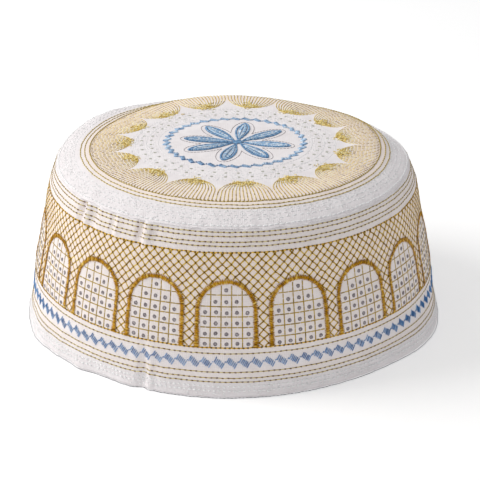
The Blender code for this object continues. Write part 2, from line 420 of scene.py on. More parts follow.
def read_points(mesh):
    """The places of a mesh's points, a row for each."""
    points = np.empty(len(mesh.vertices) * 3, np.float32)
    mesh.vertices.foreach_get("co", points)
    return points.reshape(-1, 3).astype(float)


def place_piece(mesh, points, material, replaced=()):
    """Gives the mesh its settled points, in metres, and makes it a piece of the cap."""
    mesh.vertices.foreach_set("co", (points * MM).astype(np.float32).ravel())
    mesh.update()
    mesh.materials.append(material)
    piece = bpy.data.objects.new(mesh.name, mesh)
    bpy.context.scene.collection.objects.link(piece)
    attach(piece, "root")
    if replaced:
        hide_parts(*replaced)


def add_map(mesh, name, along, up, wrap):
    """Gives every face corner a place on the cloth in millimetres; along joins up after wrap."""
    corners = np.empty(len(mesh.loops), np.int32)
    mesh.loops.foreach_get("vertex_index", corners)
    start = np.empty(len(mesh.polygons), np.int32)
    mesh.polygons.foreach_get("loop_start", start)
    sides = np.empty(len(mesh.polygons), np.int32)
    mesh.polygons.foreach_get("loop_total", sides)
    u = along[corners]
    highest = np.repeat(np.maximum.reduceat(u, start), sides)
    u = np.where(highest - u > wrap / 2, u + wrap, u)
    layer = mesh.uv_layers.new(name=name)
    layer.data.foreach_set("uv", np.stack([u, up[corners]], axis=-1).astype(np.float32).ravel())


def add_attribute(mesh, name, values):
    """Gives every point of a mesh a number that its material reads."""
    layer = mesh.attributes.new(name, "FLOAT", "POINT")
    layer.data.foreach_set("value", values.astype(np.float32))


WEAVE_PITCH = 0.8
SHADER_WAVE = 20.0  # what the wave texture multiplies its scale by


def add_math(material, operation, values, links):
    """Adds a math node and gives its result."""
    settings = {"operation": operation, **values}
    return add_node(material, "Math", settings, links).outputs[0]


def add_ramp(material, fac, stops):
    """Adds a ramp of sRGB hex colours, each at its position, and gives its colour."""
    ramp = add_node(material, "ValToRGB", None, {"Fac": fac})
    elements = ramp.color_ramp.elements
    while len(elements) < len(stops):
        elements.new(0.5)
    for element, (position, code) in zip(elements, stops):
        element.position = position
        element.color = linear(code)
    return ramp.outputs["Color"]


def starched_cotton(name, mapped):
    """Plain woven cotton, starched and pressed: matt, near white, with a fine even grain.

    The real weave has about 25 threads to the centimetre, too fine to show here, so it is drawn
    twice as coarse. Slubs and pressing make it mottle a little in colour and height, and where
    gold is sewn through it, the thread on its other side shows through as a warm cast.
    """
    material, shader = new_material(name)
    if mapped:
        place = add_node(material, "UVMap", {"uv_map": "cloth"}).outputs["UV"]
    else:
        place = add_node(material, "TexCoord").outputs["Object"]
        scale = {"operation": "SCALE", "Scale": 1.0 / MM}
        place = add_node(material, "VectorMath", scale, {0: place}).outputs[0]
    wave = {"wave_type": "BANDS", "Scale": math.tau / SHADER_WAVE / WEAVE_PITCH, "Distortion": 0.6}
    warp, weft = (
        add_node(material, "TexWave", {**wave, "bands_direction": way}, {"Vector": place})
        for way in ("X", "Y")
    )
    weave = add_math(material, "ADD", {}, {0: warp.outputs["Fac"], 1: weft.outputs["Fac"]})
    slubs, clouds = (
        add_node(material, "TexNoise", {"Scale": scale, "Detail": detail}, {"Vector": place})
        for scale, detail in ((0.9, 3.0), (0.16, 2.0))
    )
    grain = add_math(material, "MULTIPLY_ADD", {1: 0.18}, {0: weave, 2: slubs.outputs["Fac"]})
    rough = add_node(material, "Bump", {"Strength": 0.55, "Distance": 0.25 * MM}, {"Height": grain})
    tone = add_ramp(material, clouds.outputs["Fac"], ((0.3, "#efe9ea"), (0.7, "#f7f2f3")))
    warmth = add_node(material, "Attribute", {"attribute_name": "warmth"}).outputs["Fac"]
    warm = {"data_type": "RGBA", 7: linear("#fde6d2")}
    colour = add_node(material, "Mix", warm, {0: warmth, 6: tone}).outputs[2]
    starched = {"Roughness": 0.9, "Specular IOR Level": 0.25}
    fuzz = {"Sheen Weight": 0.08, "Sheen Roughness": 0.5}
    links = {"Base Color": colour, "Normal": rough.outputs["Normal"]}
    plug(material, shader, {**starched, **fuzz}, links)
    return material


def make_band_cloth():
    heights = np.arange(HEM_FOLD, SEAM_HEIGHT - SEAM_MARGIN, BAND_ROW_STEP)
    heights = np.append(heights, SEAM_HEIGHT)
    outer = [(read_curve(BAND_SECTION, height), height) for height in heights]
    hem_radius = outer[0][0] - HEM_FOLD
    fold = [
        (hem_radius + HEM_FOLD * math.sin(turn), HEM_FOLD * (1 - math.cos(turn)))
        for turn in HEM_FOLD_TURNS
    ]
    heights = np.linspace(*INNER_HEIGHTS, INNER_ROWS)
    inner = [(read_curve(BAND_SECTION, height) - CLOTH, height) for height in heights]
    inside_fold = [(inner[-1][0] + 0.5, 0.0)]
    mesh = turned_wall("band_cloth", fold + outer + inner + inside_fold, BAND_COLUMNS)
    x, y, z = read_points(mesh).T
    radius, azimuth = np.hypot(x, y), np.degrees(np.arctan2(y, x)) % 360.0
    face = read_curve(BAND_SECTION, np.clip(z, 0.0, SEAM_HEIGHT))
    outside = ease(radius - face, -1.2, -0.1) * ease(z, -0.1, HEM_FOLD)
    out = band_relief(azimuth, z) * outside
    scale = 1.0 + out / radius
    sewn = plateau(z, *WARM_HEIGHTS) * (1 - groove(z - CHAIN_HEIGHT, CHAIN_HALF_HEIGHT))
    latticed = in_field(z) & (arch_reach(azimuth, z) > ARCH_RADIUS - ARCH_STROKE)
    warmth = BAND_WARMTH[0] + BAND_WARMTH[1] * latticed
    add_attribute(mesh, "warmth", warmth * sewn * outside)
    around = np.radians(azimuth) * ARCH_WRAP_RADIUS
    add_map(mesh, "cloth", around, z, math.tau * ARCH_WRAP_RADIUS)
    cotton = starched_cotton("starched_cotton_band", mapped=True)
    place_piece(mesh, settle(x * scale, y * scale, z), cotton, ["side_band"])


make_band_cloth()


# Crown panel: the same starched cotton, cut round, slightly domed and turned down over the
# shoulder, where it is seamed to the band. Its own embroidery draws it in as the band's does.
CROWN_SECTION = (
    # radius, height
    (0.0, 77.8),
    (31.0, 78.1),
    (53.0, 76.9),
    (64.0, 76.2),
    (69.0, 75.1),
    (73.5, 73.6),
    (77.0, 72.0),
    (SEAM_RADIUS, SEAM_HEIGHT),
)
CROWN_COLUMNS = 720
CROWN_MIDDLE = (1.0, -0.2)
RIM_RINGS = (67.15, 69.05)
PETAL_RING = 64.9
TOPSTITCH_RADIUS = 77.9
SHOULDER_ROWS = (70.9, 72.9, 74.9)
EYELET_RINGS = (37.7, 42.0)
EYELETS_ROUND = 45
ZONE_RIMS = (34.4, 39.8, 44.8)
BLUE_RING = 30.7

RING_PULL = (0.7, 0.14)
ZONE_PULL = (0.6, 0.10)
SHOULDER_PULL = (0.7, 0.12)
BLUE_RING_PULL = (1.6, 0.15)
SHOULDER_WRINKLES = ((150, 8, 11, 0.22),)  # columns, rows, seed, height
WRINKLED_FROM = (66.0, 76.0)
CROWN_SPAN = 160.0
CROWN_SWELLS = ((40, 40, 12, 0.07), (110, 110, 13, 0.045))
CROWN_BULGES = (
    # azimuth, half_width, rise, then the radii where it begins, is full, falls off and ends
    (20.0, 45.0, 2.3, 48.0, 62.0, 66.0, 75.0),  # swollen at the right
    (95.0, 62.0, 2.6, 38.0, 59.0, 60.0, 71.0),  # and at the back
)
SHOULDER_SINKS = (
    # azimuth, half_width, drop: beyond the bulges the shoulder has sunk
    (42.0, 48.0, 1.6),
    (95.0, 62.0, 1.2),
)
SUNK_RADII = (63.0, 72.0)
HELD_RADII = (74.0, 79.0)  # where the seam holds up this share of the sinking
HELD_SHARE = 0.6
CROWN_WARMTH = 0.4
WARM_RADII = (50.0, 56.0, 66.0, 70.0)
CENTRE_RADII = (1.0, 1.6)  # the plain middle's first radius and step
SEWN_RADII = (30.0, 0.9)  # and where the finer rows begin, with their step


def crown_relief(x, y):
    """How far the stitching and creases move the crown's face up, in millimetres."""
    radius = np.hypot(x, y)
    own = np.hypot(x - CROWN_MIDDLE[0], y - CROWN_MIDDLE[1])
    azimuth = np.degrees(np.arctan2(y, x)) % 360.0
    turn, out = azimuth / 360.0, radius / SEAM_RADIUS
    drawn = pull(own, RIM_RINGS + (PETAL_RING,), *RING_PULL) + pull(own, ZONE_RIMS, *ZONE_PULL)
    drawn += pull(radius, SHOULDER_ROWS + (TOPSTITCH_RADIUS,), *SHOULDER_PULL)
    drawn += pull(own, (BLUE_RING,), *BLUE_RING_PULL) + pull(radius, (SEAM_RADIUS,), *SEAM_PULL)
    form = ripples(turn, out, SHOULDER_WRINKLES) * ease(radius, *WRINKLED_FROM)
    form += ripples(x / CROWN_SPAN + 0.5, y / CROWN_SPAN + 0.5, CROWN_SWELLS)
    for centre, half, rise, *radii in CROWN_BULGES:
        form += rise * plateau(radius, *radii) * bump(azimuth, centre, half)
    sunk = ease(radius, *SUNK_RADII) * (1 - ease(radius, *HELD_RADII) * HELD_SHARE)
    return form - sunk * bumps(azimuth, SHOULDER_SINKS) - drawn


def on_crown(x, y, proud=0.0):
    """Points of the crown's outer face, or that far up from it."""
    height = read_curve(CROWN_SECTION, np.hypot(x, y)) + proud + crown_relief(x, y)
    return settle(x, y, height)


def make_crown_cloth():
    centre = np.arange(CENTRE_RADII[0], SEWN_RADII[0], CENTRE_RADII[1])
    sewn = np.arange(SEWN_RADII[0], SEAM_RADIUS - SEAM_MARGIN, SEWN_RADII[1])
    radii = np.concatenate([[0.0], centre, sewn, [SEAM_RADIUS]])
    outer = [(radius, read_curve(CROWN_SECTION, radius)) for radius in radii]
    turned_in = [(SEAM_RADIUS - 0.5, SEAM_HEIGHT - 0.7), (SEAM_RADIUS - 2.2, SEAM_HEIGHT - 0.9)]
    radii = np.linspace(SEAM_RADIUS - 5.0, 0.0, INNER_ROWS)
    inner = [(radius, read_curve(CROWN_SECTION, radius) - CLOTH) for radius in radii]
    mesh = turned_wall("crown_cloth", outer + turned_in + inner, CROWN_COLUMNS)
    x, y, z = read_points(mesh).T
    face = read_curve(CROWN_SECTION, np.clip(np.hypot(x, y), 0.0, SEAM_RADIUS))
    outside = ease(z - face, -0.6, -0.02)
    own = np.hypot(x - CROWN_MIDDLE[0], y - CROWN_MIDDLE[1])
    add_attribute(mesh, "warmth", CROWN_WARMTH * plateau(own, *WARM_RADII) * outside)
    cotton = starched_cotton("starched_cotton_crown", mapped=False)
    points = settle(x, y, z + crown_relief(x, y) * outside)
    place_piece(mesh, points, cotton, ["crown_panel"])


make_crown_cloth()


# Gold running stitch: single strands of rayon embroidery thread, sewn through the band in eight
# thin rows and two bolder ones. The stitches of a row lie end to end, and each dives into the
# same hole as the next, where a short dark stitch is laid as painted shade for the hole.
THIN_STITCH = 2.35
THIN_STRAND = 0.42
BOLD_STITCH = 1.9
BOLD_STRAND = 0.55
NEEDLE_MARK = 1.0
MARK_WIDENING = 1.25
# Painted shade: the dark tone of the short stitch laid over each needle hole.
HOLE_PAINTED_SHADE = {"shade": 0.0, "spread": 0.06}
THREAD_WANDER = 0.05
STITCH_BEND = 0.34  # where a stitch begins to dive, in lengths from its middle
STITCH_DIVE = -0.45  # how deep its ends lie, in widths
STITCH_LIFT = 0.18  # and how high its middle stands
dice = np.random.default_rng(7)


def make_stitch():
    """One stitch of unit length and width: points (along, across, out) and its triangles."""
    bm = bmesh.new()
    bmesh.ops.create_uvsphere(bm, u_segments=5, v_segments=3, radius=1.0)
    bmesh.ops.triangulate(bm, faces=bm.faces[:])
    bm.verts.index_update()
    points = []
    for vert in bm.verts:
        x, y, z = vert.co
        ring = math.hypot(x, y)
        if ring < 0.1:
            points.append((math.copysign(0.5, z), 0.0, STITCH_DIVE))
        else:
            out = 0.5 * x / ring + STITCH_LIFT
            points.append((math.copysign(STITCH_BEND, z), 0.5 * y / ring, out))
    # The axes are swapped here, which is a mirroring, so each face is listed the other way round.
    faces = [[vert.index for vert in reversed(face.verts)] for face in bm.faces]
    bm.free()
    return np.array(points), np.array(faces)


STITCH_POINTS, STITCH_FACES = make_stitch()


def sew(face, starts, ends, width, shade=0.5, spread=0.12, proud=0.0, flat=0.9):
    """Lays a stitch on a face of the cap from each start to each end, in that face's places.

    Gives the strands' points and their shades, from 0, dark, to 1, light.
    """
    starts, ends = np.asarray(starts, float), np.asarray(ends, float)
    middle = (starts + ends) / 2
    centre = face(middle[:, 0], middle[:, 1], proud)
    out = face(middle[:, 0], middle[:, 1], proud + 1.0) - centre
    run = face(ends[:, 0], ends[:, 1], proud) - face(starts[:, 0], starts[:, 1], proud)
    across = np.cross(out, run)
    across /= np.maximum(np.linalg.norm(across, axis=1, keepdims=True), 1e-9)
    along, side, up = STITCH_POINTS.T
    width = np.broadcast_to(width, len(starts))[:, None, None]
    points = (
        centre[:, None]
        + run[:, None] * along[None, :, None]
        + across[:, None] * side[None, :, None] * width
        + out[:, None] * up[None, :, None] * width * flat
    )
    shades = np.broadcast_to(shade, len(starts)) + dice.normal(0.0, spread, len(starts))
    return points, np.clip(shades, 0, 1)


def thread_piece(name, sewn, material, replaced=()):
    """Joins what was sewn into one piece, with a place along each strand and its shade."""
    points = np.concatenate([batch[0] for batch in sewn])
    shades = np.concatenate([batch[1] for batch in sewn])
    count, size = points.shape[:2]
    faces = (STITCH_FACES[None] + np.arange(count)[:, None, None] * size).reshape(-1, 3)
    mesh = bpy.data.meshes.new(name)
    mesh.from_pydata(np.zeros((count * size, 3)), [], faces)
    mesh.shade_smooth()
    add_attribute(mesh, "shade", np.repeat(shades, size))
    add_attribute(mesh, "along", np.tile(STITCH_POINTS[:, 0] + 0.5, count))
    add_attribute(mesh, "round", np.tile(STITCH_POINTS[:, 1] + 0.5, count))
    place_piece(mesh, points.reshape(-1, 3), material, replaced)


def embroidery_thread(name, dark, middle, light, ends, twist=3.0, roughness=0.42, shimmer=0.35):
    """Two-ply rayon embroidery thread: dyed through, with a soft silky gloss.

    The plies cross each strand as fine slanted ridges, and each strand catches the light in its own
    shade. Toward both ends a strand's colour turns to the ends colour: painted shade where it
    dives into the cloth. Its shimmer is a little like that of metal: highlights take on the
    dye's own colour.
    """
    material, shader = new_material(name)
    shade, along, around = (
        add_node(material, "Attribute", {"attribute_name": key}).outputs["Fac"]
        for key in ("shade", "along", "round")
    )
    dye = add_ramp(material, shade, ((0.0, dark), (0.5, middle), (1.0, light)))
    away = add_math(material, "SUBTRACT", {1: 0.5}, {0: along})
    away = add_math(material, "ABSOLUTE", {}, {0: away})
    # Painted shade: near both ends the strand's colour turns to the ends colour, as if shaded where
    # it dives.
    dive = {"From Min": 0.3, "From Max": 0.47}
    painted_end_shade = add_node(material, "MapRange", dive, {"Value": away}).outputs[0]
    end_shade_mix = {"data_type": "RGBA", 7: linear(ends)}
    colour = add_node(material, "Mix", end_shade_mix, {0: painted_end_shade, 6: dye}).outputs[2]
    slant = add_math(material, "MULTIPLY_ADD", {1: twist}, {0: along, 2: around})
    ply = add_math(material, "MULTIPLY", {1: math.tau}, {0: slant})
    ply = add_math(material, "SINE", {}, {0: ply})
    ridges = add_node(material, "Bump", {"Strength": 0.35, "Distance": 0.08 * MM}, {"Height": ply})
    silk = {"Roughness": roughness, "Metallic": shimmer, "IOR": 1.5}
    silk |= {"Specular IOR Level": 0.45, "Specular Tint": linear(light)}
    fuzz = {"Sheen Weight": 0.12, "Sheen Roughness": 0.4, "Sheen Tint": linear(light)}
    links = {"Base Color": colour, "Normal": ridges.outputs["Normal"]}
    plug(material, shader, {**silk, **fuzz}, links)
    return material


def running_row(height, stitch, strand, shade=0.6, spread=0.12, fill=1.0, flat=0.7):
    """One row round the band; if its stitches meet, each needle hole gets a painted shade mark."""
    radius = read_curve(BAND_SECTION, height)
    count = round(math.tau * radius / stitch)
    pitch = 360.0 / count
    start = np.arange(count) * pitch + dice.uniform(0, pitch)
    level = height + dice.normal(0.0, THREAD_WANDER, count)
    starts = np.stack([start, level], axis=1)
    ends = np.stack([start + pitch * fill, np.roll(level, -1)], axis=1)
    sewn = [sew(on_band, starts, ends, strand, shade, spread, flat=flat)]
    # Where stitches meet, a short dark stitch over each needle hole stands for its shade: painted
    # shade.
    if fill == 1.0:
        half = (pitch * NEEDLE_MARK / stitch / 2, 0.0)
        shade_marks = starts - half, starts + half, strand * MARK_WIDENING
        sewn.append(sew(on_band, *shade_marks, **HOLE_PAINTED_SHADE, proud=0.04, flat=flat))
    return sewn


# The last colour of each thread is its ends colour: painted shade where a strand dives into the
# cloth.
gold_thin = embroidery_thread("rayon_thread_pale_gold", "#643a00", "#ccb876", "#ecdfaa", "#a08646")
gold_bold = embroidery_thread("rayon_thread_gold", "#644a08", "#dcac30", "#f8d666", "#a87f18")

thin_sewn = sum((running_row(height, THIN_STITCH, THIN_STRAND) for height in THIN_ROWS), [])
thread_piece("band_thin_rows", thin_sewn, gold_thin)
bold_sewn = sum((running_row(height, BOLD_STITCH, BOLD_STRAND) for height in BOLD_ROWS), [])
thread_piece("band_bold_rows", bold_sewn, gold_bold)


# Lattice: the ground between and above the arches, crossed by slanting gold threads, 144 cells
# round. A stitch runs from crossing to crossing, and a short dark stitch marks each crossing's
# knot: a real crossing of thread, drawn dark as painted shade for the needle hole.
LATTICE_STRAND = 0.64
LATTICE_WANDER = 0.13
LATTICE_TUCK = 0.3  # how far it runs in under the arches
LATTICE_KNOT = 1.0
LATTICE_KNOT_STRAND = 0.66
BAND_STRETCH = np.array([math.degrees(1.0 / ARCH_WRAP_RADIUS), 1.0])  # a millimetre in its places
CLIP_STEPS = 9
SHORTEST_CLIP = 0.3


def clip(starts, ends, allowed):
    """Shortens each stitch to its stretch that lies in the allowed places, and drops the rest."""
    run = ends - starts
    share = np.linspace(0.0, 1.0, CLIP_STEPS)
    spots = starts[:, None] + run[:, None] * share[None, :, None]
    inside = allowed(spots[..., 0], spots[..., 1])
    first = share[np.argmax(inside, axis=1)]
    last = share[CLIP_STEPS - 1 - np.argmax(inside[:, ::-1], axis=1)]
    keep = inside.any(axis=1) & (last - first > SHORTEST_CLIP)
    return (starts + run * first[:, None])[keep], (starts + run * last[:, None])[keep]


def in_lattice(azimuth, height):
    return in_field(height) & (arch_reach(azimuth, height) > ARCH_RADIUS - LATTICE_TUCK)


def make_lattice():
    half_rows = int((BOLD_ROWS[1] - BOLD_ROWS[0]) / LATTICE_RISE * 2) + 2
    row, cell = np.mgrid[0:half_rows, 0:LATTICE_CELLS]
    size = np.array([360.0 / LATTICE_CELLS, LATTICE_RISE])
    crossings = np.stack([cell + row % 2 / 2, row / 2], axis=-1) * size + (FIRST_ARCH, BOLD_ROWS[0])
    crossings += dice.normal(0.0, LATTICE_WANDER, crossings.shape) * BAND_STRETCH
    sewn = []
    for side in (1, 0):
        # An odd row stands half a cell to the right, so its left-hand neighbour above has its
        # own number.
        above = np.where(row % 2, cell + side, cell + side - 1)
        turns = np.floor_divide(above, LATTICE_CELLS) * 360.0
        ends = crossings[np.minimum(row + 1, half_rows - 1), above % LATTICE_CELLS]
        ends = np.stack([ends[..., 0] + turns, ends[..., 1]], axis=-1)
        kept = clip(crossings[:-1].reshape(-1, 2), ends[:-1].reshape(-1, 2), in_lattice)
        sewn.append(sew(on_band, *kept, LATTICE_STRAND, shade=0.52, spread=0.13, flat=0.5))
    nodes = crossings.reshape(-1, 2)
    nodes = nodes[in_lattice(nodes[:, 0], nodes[:, 1])]
    # The knots at the crossings: real crossings of thread, drawn dark as painted shade.
    half = np.array([0.0, LATTICE_KNOT / 2])
    shade_knots = nodes - half, nodes + half, LATTICE_KNOT_STRAND
    sewn.append(sew(on_band, *shade_knots, **HOLE_PAINTED_SHADE, proud=0.08, flat=0.5))
    return sewn


gold_lattice = embroidery_thread(
    "rayon_thread_lattice_gold", "#644602", "#c8a030", "#f8dc78", "#80620c"
)
thread_piece("band_lattice", make_lattice(), gold_lattice)


# Arches: eighteen round arches in satin stitch, close strands laid across a stroke 2 mm wide
# that stands proud of the cloth. The strands zigzag and fray a little, so both edges are fuzzy.
SATIN_PITCH = 0.36
SATIN_STRAND = 0.52
SATIN_ZIGZAG = 0.28
SATIN_FRAY = (0.78, 1.25)  # least and most of the stroke's half width
FOOT_WIDENING = 0.25
FOOT_LENGTH = 6.0


def arch_azimuth(number, across):
    """The azimuth of places that far across from one arch's middle."""
    return FIRST_ARCH + ARCH_PITCH * number + np.degrees(across / ARCH_WRAP_RADIUS)


def arch_line(number, along, aside):
    """Places on an arch: along its backbone from the left foot, aside to its outer side."""
    middle = ARCH_RADIUS - ARCH_STROKE / 2
    turn = np.clip((along - ARCH_LEG) / middle, 0.0, math.pi)
    radius = middle + aside
    left_leg = np.minimum(along, ARCH_LEG) - ARCH_LEG
    right_leg = np.clip(ARCH_LEG + math.pi * middle - along, -ARCH_LEG, 0.0)
    up = np.sin(turn) * radius + (left_leg + right_leg)
    return np.stack([arch_azimuth(number, -np.cos(turn) * radius), ARCH_SPRING + up], axis=1)


def make_arches():
    length = math.pi * (ARCH_RADIUS - ARCH_STROKE / 2) + 2 * ARCH_LEG
    count = int(length / SATIN_PITCH)
    along = (np.arange(count) + 0.5) * length / count
    foot = 1.0 + FOOT_WIDENING * (1 - ease(np.minimum(along, length - along), 0.0, FOOT_LENGTH))
    half = ARCH_STROKE / 2 * foot
    zigzag = np.where(np.arange(count) % 2, 1, -1) * SATIN_ZIGZAG
    look = {"width": SATIN_STRAND, "shade": 0.45, "spread": 0.22, "flat": 0.4}
    sewn = []
    for number in range(ARCHES):
        edges = []
        for side in (1, -1):
            spot = np.clip(along + side * zigzag, 0, length)
            edges.append(arch_line(number, spot, side * half * dice.uniform(*SATIN_FRAY, count)))
        outer, inner = edges
        proud = 0.22 + dice.uniform(-0.1, 0.12, count)
        sewn.append(sew(on_band, inner, outer, **look, proud=proud))
    return sewn


gold_satin = embroidery_thread(
    "rayon_satin_gold", "#784c04", "#c68e16", "#fada74", "#9c6c0a", twist=2.0, shimmer=0.1
)
arch_names = [f"arch_{number:02d}" for number in range(1, ARCHES + 1)]
thread_piece("arch_satin", make_arches(), gold_satin, arch_names)


# Windows: inside each arch, thin gold stitches divide the cloth into a grid of small squares.
GRID_STITCH = GRID_CELL / 2
GRID_STRAND = 0.5
GRID_OVERLAP = 0.4
GRID_TUCK = 0.2


def in_window(azimuth, height):
    return arch_reach(azimuth, height) < ARCH_RADIUS - ARCH_STROKE + GRID_TUCK


def make_window_grid():
    levels = np.arange(BOLD_ROWS[0], ARCH_SPRING + ARCH_RADIUS, GRID_STITCH)
    sides = np.arange(-3.0, 3.0, 0.5) * GRID_CELL
    upright = [(column * GRID_CELL, low) for column in (-1.5, -0.5, 0.5, 1.5) for low in levels]
    across = [(left, riser) for riser in GRID_RISERS for left in sides]
    run = GRID_STITCH + GRID_OVERLAP
    starts = np.array(upright + across)
    ends = starts + np.array([(0.0, run)] * len(upright) + [(run, 0.0)] * len(across))
    sewn = []
    for number in range(ARCHES):
        places = (
            np.stack([arch_azimuth(number, aside), height], axis=1)
            for aside, height in (starts.T, ends.T)
        )
        kept = clip(*places, in_window)
        sewn.append(sew(on_band, *kept, GRID_STRAND, spread=0.15, flat=0.45))
    return sewn


gold_grid = embroidery_thread(
    "rayon_thread_grid_gold", "#7c6618", "#b49434", "#dabe5c", "#7a6418"
)
thread_piece("window_grid", make_window_grid(), gold_grid)


# Eyelets: a small ring in grey-violet thread, crossed by a slanting bar, stands in most squares
# of a window, and two rounds of finer ones run round the star. Each is a few short strands that
# circle one hole.
EYELET_DROP = 0.4
EYELET_STRANDS = 6
EYELET_OVERLAP = 1.3
EYELET_WANDER = 0.1
EYELETS_ASIDE = (2, 2, 2, 2, 1, 0)  # to each side of the middle one, from the lowest row up
TOP_EYELET_RISER = 49.0
WINDOW_EYELET = 0.76
CROWN_EYELET = 0.62


def polar(radius, turn, middle=(0.0, 0.0)):
    """Places at that radius and turn, in radians, from a middle."""
    x, y = middle[0] + radius * np.cos(turn), middle[1] + radius * np.sin(turn)
    return np.stack([x, y], axis=-1)


def eyelets(face, centres, size, shade, flat, stretch=1.0):
    """Rings of that radius; stretch turns millimetres to the face's own places."""
    sewn = []
    step = math.tau / EYELET_STRANDS
    for strand in range(EYELET_STRANDS):
        turn = step * (strand + dice.uniform(-0.25, 0.25, len(centres)))
        near, far = size * dice.uniform(0.85, 1.15, (2, len(centres), 1))
        starts = centres + polar(1.0, turn) * near * stretch
        ends = centres + polar(1.0, turn + step * EYELET_OVERLAP) * far * stretch
        sewn.append(sew(face, starts, ends, 0.62 * size, shade, spread=0.2, flat=flat))
    lean = dice.normal((0.45, 0.5), 0.15, centres.shape) * size * stretch
    bar = centres - lean, centres + lean, 0.7 * size
    sewn.append(sew(face, *bar, shade + 0.3, spread=0.15, flat=flat))
    return sewn


def make_window_eyelets():
    risers = (BOLD_ROWS[0],) + GRID_RISERS + (TOP_EYELET_RISER,)
    centres = np.array([
        (arch_azimuth(number, column * GRID_CELL), (low + high) / 2 - EYELET_DROP)
        for number in range(ARCHES)
        for low, high, aside in zip(risers, risers[1:], EYELETS_ASIDE)
        for column in range(-aside, aside + 1)
    ])
    centres += dice.normal(0.0, EYELET_WANDER, centres.shape) * BAND_STRETCH
    return eyelets(on_band, centres, WINDOW_EYELET, 0.3, 0.45, BAND_STRETCH)


grey_violet = embroidery_thread(
    "rayon_thread_grey_violet", "#736a6c", "#989093", "#bcb6b9", "#6e6668", shimmer=0.1
)
thread_piece("window_eyelets", make_window_eyelets(), grey_violet)


# Blue chain: 108 slanting blocks round the band below the arches, each of six blue strands
# laid side by side with a hair of cloth between them, and joined to the next by a short link.
CHAIN_BLOCKS = 108
CHAIN_STRANDS = 6
CHAIN_PITCH = 4.9  # the length that the three runs below are drawn for
CHAIN_STRAND_RUN = np.array([1.3, 2.6])
CHAIN_BLOCK_RUN = np.array([2.9, -2.5])
CHAIN_LINK = np.array([0.6, 0.6])
CHAIN_STRAND = 0.4
CHAIN_FRAY = (0.04, 0.13)


def chain_block_strands():
    """Start and end of each strand of one block, from its left corner, across and up."""
    step = np.linspace(0.0, 1.0, CHAIN_STRANDS)[:, None]
    starts = step * CHAIN_BLOCK_RUN
    ends = starts + CHAIN_STRAND_RUN
    return np.vstack([starts, ends[-1:]]), np.vstack([ends, ends[-1:] + CHAIN_LINK])


def make_blue_chain():
    radius = read_curve(BAND_SECTION, CHAIN_HEIGHT)
    pitch = math.tau * radius / CHAIN_BLOCKS
    stretch = np.array([math.degrees(pitch / CHAIN_PITCH / radius), 1.0])
    low, high = chain_block_strands()
    sewn = []
    for block in range(CHAIN_BLOCKS):
        corner = np.array([FIRST_ARCH + 360.0 / CHAIN_BLOCKS * block, CHAIN_HEIGHT])
        fray = dice.normal(0.0, 1.0, (2, CHAIN_STRANDS + 1, 2)) * CHAIN_FRAY
        starts, ends = corner + (low + fray[0]) * stretch, corner + (high + fray[1]) * stretch
        sewn.append(sew(on_band, starts, ends, CHAIN_STRAND, shade=0.4, spread=0.25, proud=0.1))
    return sewn


blue_chain = embroidery_thread("rayon_thread_blue", "#406ea8", "#6292c6", "#a2c4e8", "#5482ba")
thread_piece("band_blue_chain", make_blue_chain(), blue_chain)


# White stitching: cotton thread in the cloth's own white. It runs in two rows along the hem, a
# line of topstitching at the seam and rings round the shoulder and the star, with quilting too
# fine to be followed strewn between them.
WHITE_STITCH = 2.1
QUILTING = (
    # stitches, inner and outer radius, length, width
    (1800, 70.4, 77.6, 0.8, 0.32),  # on the shoulder
    (1000, 34.6, 45.6, 0.9, 0.36),  # round the star
)
HEM_STITCHES = 900
HEM_STRIP = (1.4, 6.0)


def crown_ring(radius, stitch, strand, shade, middle=(0.0, 0.0), fill=0.88):
    """One crown ring of stitches; if they meet, each needle hole gets a painted shade mark."""
    count = round(math.tau * radius / stitch)
    pitch = math.tau / count
    turn = np.arange(count) * pitch + dice.uniform(0, pitch)
    rim = radius + dice.normal(0.0, THREAD_WANDER, count)
    starts, ends = (polar(rim, at, middle) for at in (turn, turn + pitch * fill))
    sewn = [sew(on_crown, starts, ends, strand, shade)]
    # Where stitches meet, a short dark stitch over each needle hole: painted shade.
    if fill == 1.0:
        half = pitch * NEEDLE_MARK / stitch / 2
        shade_marks = (polar(rim, at, middle) for at in (turn - half, turn + half))
        sewn.append(sew(on_crown, *shade_marks, strand * MARK_WIDENING, **HOLE_PAINTED_SHADE, proud=0.04))
    return sewn


def quilt(count, inner, outer, length, width):
    """Short stitches that lie every way on a ring of the crown."""
    turn, radius = dice.uniform(0, math.tau, count), dice.uniform(inner, outer, count)
    starts = polar(radius, turn)
    ray = polar(length, dice.uniform(0, math.tau, count))
    return sew(on_crown, starts, starts + ray, width, shade=0.6, spread=0.25, flat=0.6)


def make_white_stitching():
    hem_look = {"shade": 0.8, "fill": 0.66, "flat": 1.1}
    sewn = sum((running_row(row, WHITE_STITCH, 0.6, **hem_look) for row in HEM_ROWS), [])
    sewn += sum((crown_ring(row, 3.0, 0.4, 0.6, fill=0.6) for row in SHOULDER_ROWS), [])
    sewn += crown_ring(TOPSTITCH_RADIUS, stitch=2.4, strand=0.6, shade=0.7)
    sewn += sum((crown_ring(rim, 1.9, 0.3, 0.7, CROWN_MIDDLE) for rim in ZONE_RIMS), [])
    sewn += [quilt(*ring) for ring in QUILTING]
    azimuth, height = dice.uniform(0, 360.0, HEM_STITCHES), dice.uniform(*HEM_STRIP, HEM_STITCHES)
    starts = np.stack([azimuth, height], axis=1)
    ends = starts + dice.normal(0.0, (0.5, 0.3), starts.shape)
    return sewn + [sew(on_band, starts, ends, width=0.36, shade=0.8, spread=0.2)]


white_thread = embroidery_thread(
    "cotton_thread_white", "#ececec", "#fafafa", "#ffffff", "#f2f2f2", roughness=0.3, shimmer=0.0
)
thread_piece("white_stitching", make_white_stitching(), white_thread)


